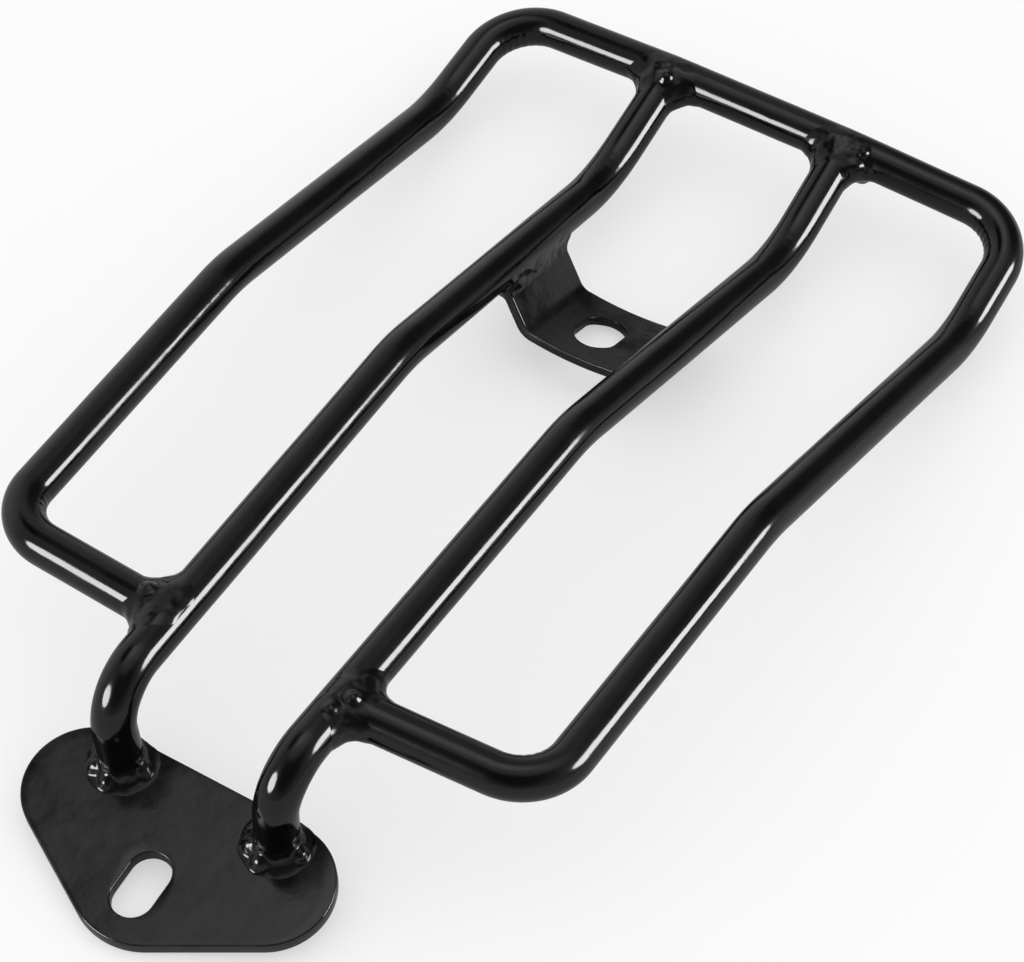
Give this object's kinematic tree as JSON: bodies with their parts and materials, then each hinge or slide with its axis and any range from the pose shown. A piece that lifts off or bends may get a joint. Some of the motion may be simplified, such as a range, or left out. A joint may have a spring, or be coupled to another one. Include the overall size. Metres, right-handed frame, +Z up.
{
  "type": "luggage rack",
  "caption": "Welded tube luggage rack that bolts over a mudguard, with a bent outer hoop, inner rails turned down to a slotted plate, and a slotted strap bracket.",
  "frame": {"origin": "underside of the front mounting plate, at the middle of its slot", "axes": "+Z up with the front stretch of the rails level, +Y to the rear along the rack, +X to the right; X = 0 is the mirror plane"},
  "size_m": [0.2052, 0.3727, 0.0535],
  "materials": {
    "tube_black": "gloss black powder coat on steel tube",
    "plate_black": "semi-gloss black powder coat on steel plate",
    "bracket_black": "gloss black powder coat on steel strap",
    "weld_black": "gloss black powder coat over rippled weld"
  },
  "bodies": {
    "root": {"front_mounting_plate": "plate_black", "left_inner_rail": "tube_black", "outer_hoop": "tube_black", "rear_bracket": "bracket_black", "right_inner_rail": "tube_black", "weld_left_bracket_inboard": "weld_black", "weld_left_bracket_outboard": "weld_black", "weld_left_crossbar_inboard": "weld_black", "weld_left_crossbar_outboard": "weld_black", "weld_left_foot_front": "weld_black", "weld_left_foot_rear": "weld_black", "weld_left_stub_front": "weld_black", "weld_left_stub_rear": "weld_black", "weld_right_bracket_inboard": "weld_black", "weld_right_bracket_outboard": "weld_black", "weld_right_crossbar_inboard": "weld_black", "weld_right_crossbar_outboard": "weld_black", "weld_right_foot_front": "weld_black", "weld_right_foot_rear": "weld_black", "weld_right_stub_front": "weld_black", "weld_right_stub_rear": "weld_black"}
  },
  "joints": []
}
